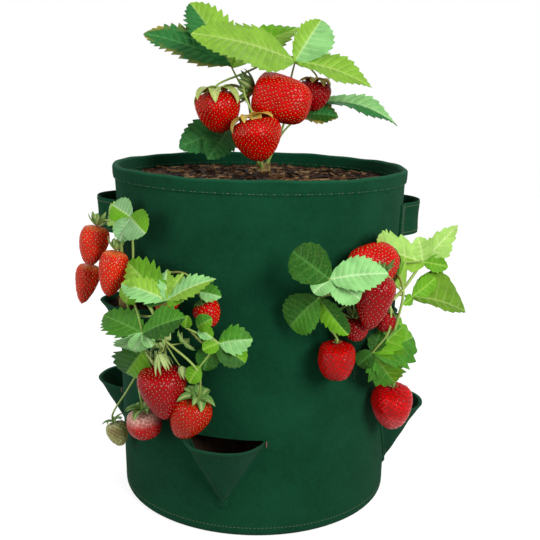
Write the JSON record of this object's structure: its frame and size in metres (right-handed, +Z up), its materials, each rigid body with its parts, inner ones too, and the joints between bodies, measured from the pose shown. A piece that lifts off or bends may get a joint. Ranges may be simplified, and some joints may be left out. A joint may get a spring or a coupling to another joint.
{
  "type": "strawberry grow bag",
  "caption": "Round felt planting bag with two rings of sewn-on side pockets, two carrying handles, a folded hem, soil and fruiting strawberry plants.",
  "frame": {"origin": "middle of the base panel, on the ground", "axes": "+Z up, -Y to the front, where the lowest front pocket shows, +X to the right"},
  "size_m": [0.4444, 0.44, 0.5878],
  "materials": {
    "felt": "matte non-woven felt",
    "soil": "coarse bark chips and compost",
    "crown": "rough stub of a plant",
    "stalk": "soft green stalk, stands in for plant tissue",
    "leaf_yellow_green": "veined leaf, stands in for plant tissue",
    "leaf_mid_green": "veined leaf, stands in for plant tissue",
    "leaf_dark_green": "veined leaf, stands in for plant tissue",
    "berry_ripe": "glossy ripe fruit, stands in for plant tissue",
    "berry_dark": "glossy dark ripe fruit, stands in for plant tissue",
    "berry_pale": "glossy paler fruit, stands in for plant tissue",
    "berry_unripe": "unripe green fruit, stands in for plant tissue"
  },
  "bodies": {
    "bag": {"side_wall": "felt", "top_hem": "felt", "base_panel": "felt", "back_seam_lap": "felt", "pouch_lower_1": "felt", "pouch_lower_2": "felt", "pouch_lower_3": "felt", "pouch_lower_4": "felt", "pouch_upper_1": "felt", "pouch_upper_2": "felt", "pouch_upper_3": "felt", "pouch_upper_4": "felt", "handle_tab_right_1": "felt", "handle_tab_right_2": "felt", "handle_tab_left_1": "felt", "handle_tab_left_2": "felt", "soil": "soil", "crown_top": "crown", "crown_left": "crown", "crown_right": "crown", "berry_top_1": "berry_ripe", "berry_top_2": "berry_ripe", "berry_top_3": "berry_ripe", "berry_top_4": "berry_ripe", "berry_left_lower_1": "berry_dark", "berry_left_lower_2": "berry_ripe", "berry_left_lower_3": "berry_pale", "berry_left_lower_4": "berry_unripe", "berry_left_lower_5": "berry_ripe", "berry_left_lower_6": "berry_ripe", "berry_left_upper_1": "berry_pale", "berry_left_upper_2": "berry_pale", "berry_left_upper_3": "berry_pale", "berry_right_1": "berry_ripe", "berry_right_2": "berry_ripe", "berry_right_3": "berry_dark", "berry_right_4": "berry_dark", "berry_right_5": "berry_ripe", "berry_right_6": "berry_pale", "truss_top": "stalk", "truss_left_lower": "stalk", "truss_left_upper": "stalk", "truss_right": "stalk", "leaf_top_1": "leaf_yellow_green", "leaf_top_2": "leaf_mid_green", "leaf_top_3": "leaf_dark_green", "leaf_top_4": "leaf_dark_green", "leaf_left_1": "leaf_mid_green", "leaf_left_2": "leaf_yellow_green", "leaf_left_3": "leaf_mid_green", "leaf_left_4": "leaf_dark_green", "leaf_right_1": "leaf_mid_green", "leaf_right_2": "leaf_dark_green", "leaf_right_3": "leaf_yellow_green", "leaf_right_4": "leaf_yellow_green", "leaf_right_5": "leaf_dark_green"},
    "handle_right": {"handle_strap_right": "felt"},
    "handle_left": {"handle_strap_left": "felt"}
  },
  "joints": [
    {"name": "handle_lift_right", "type": "hinge", "parent": "bag", "child": "handle_right", "pos_m": [0.16499, 0.01154, 0.361], "axis": [0.0698, -0.9976, 0], "range_deg": [0, 60]},
    {"name": "handle_lift_left", "type": "hinge", "parent": "bag", "child": "handle_left", "pos_m": [-0.16499, -0.01154, 0.361], "axis": [-0.0698, 0.9976, 0], "range_deg": [0, 60]}
  ]
}
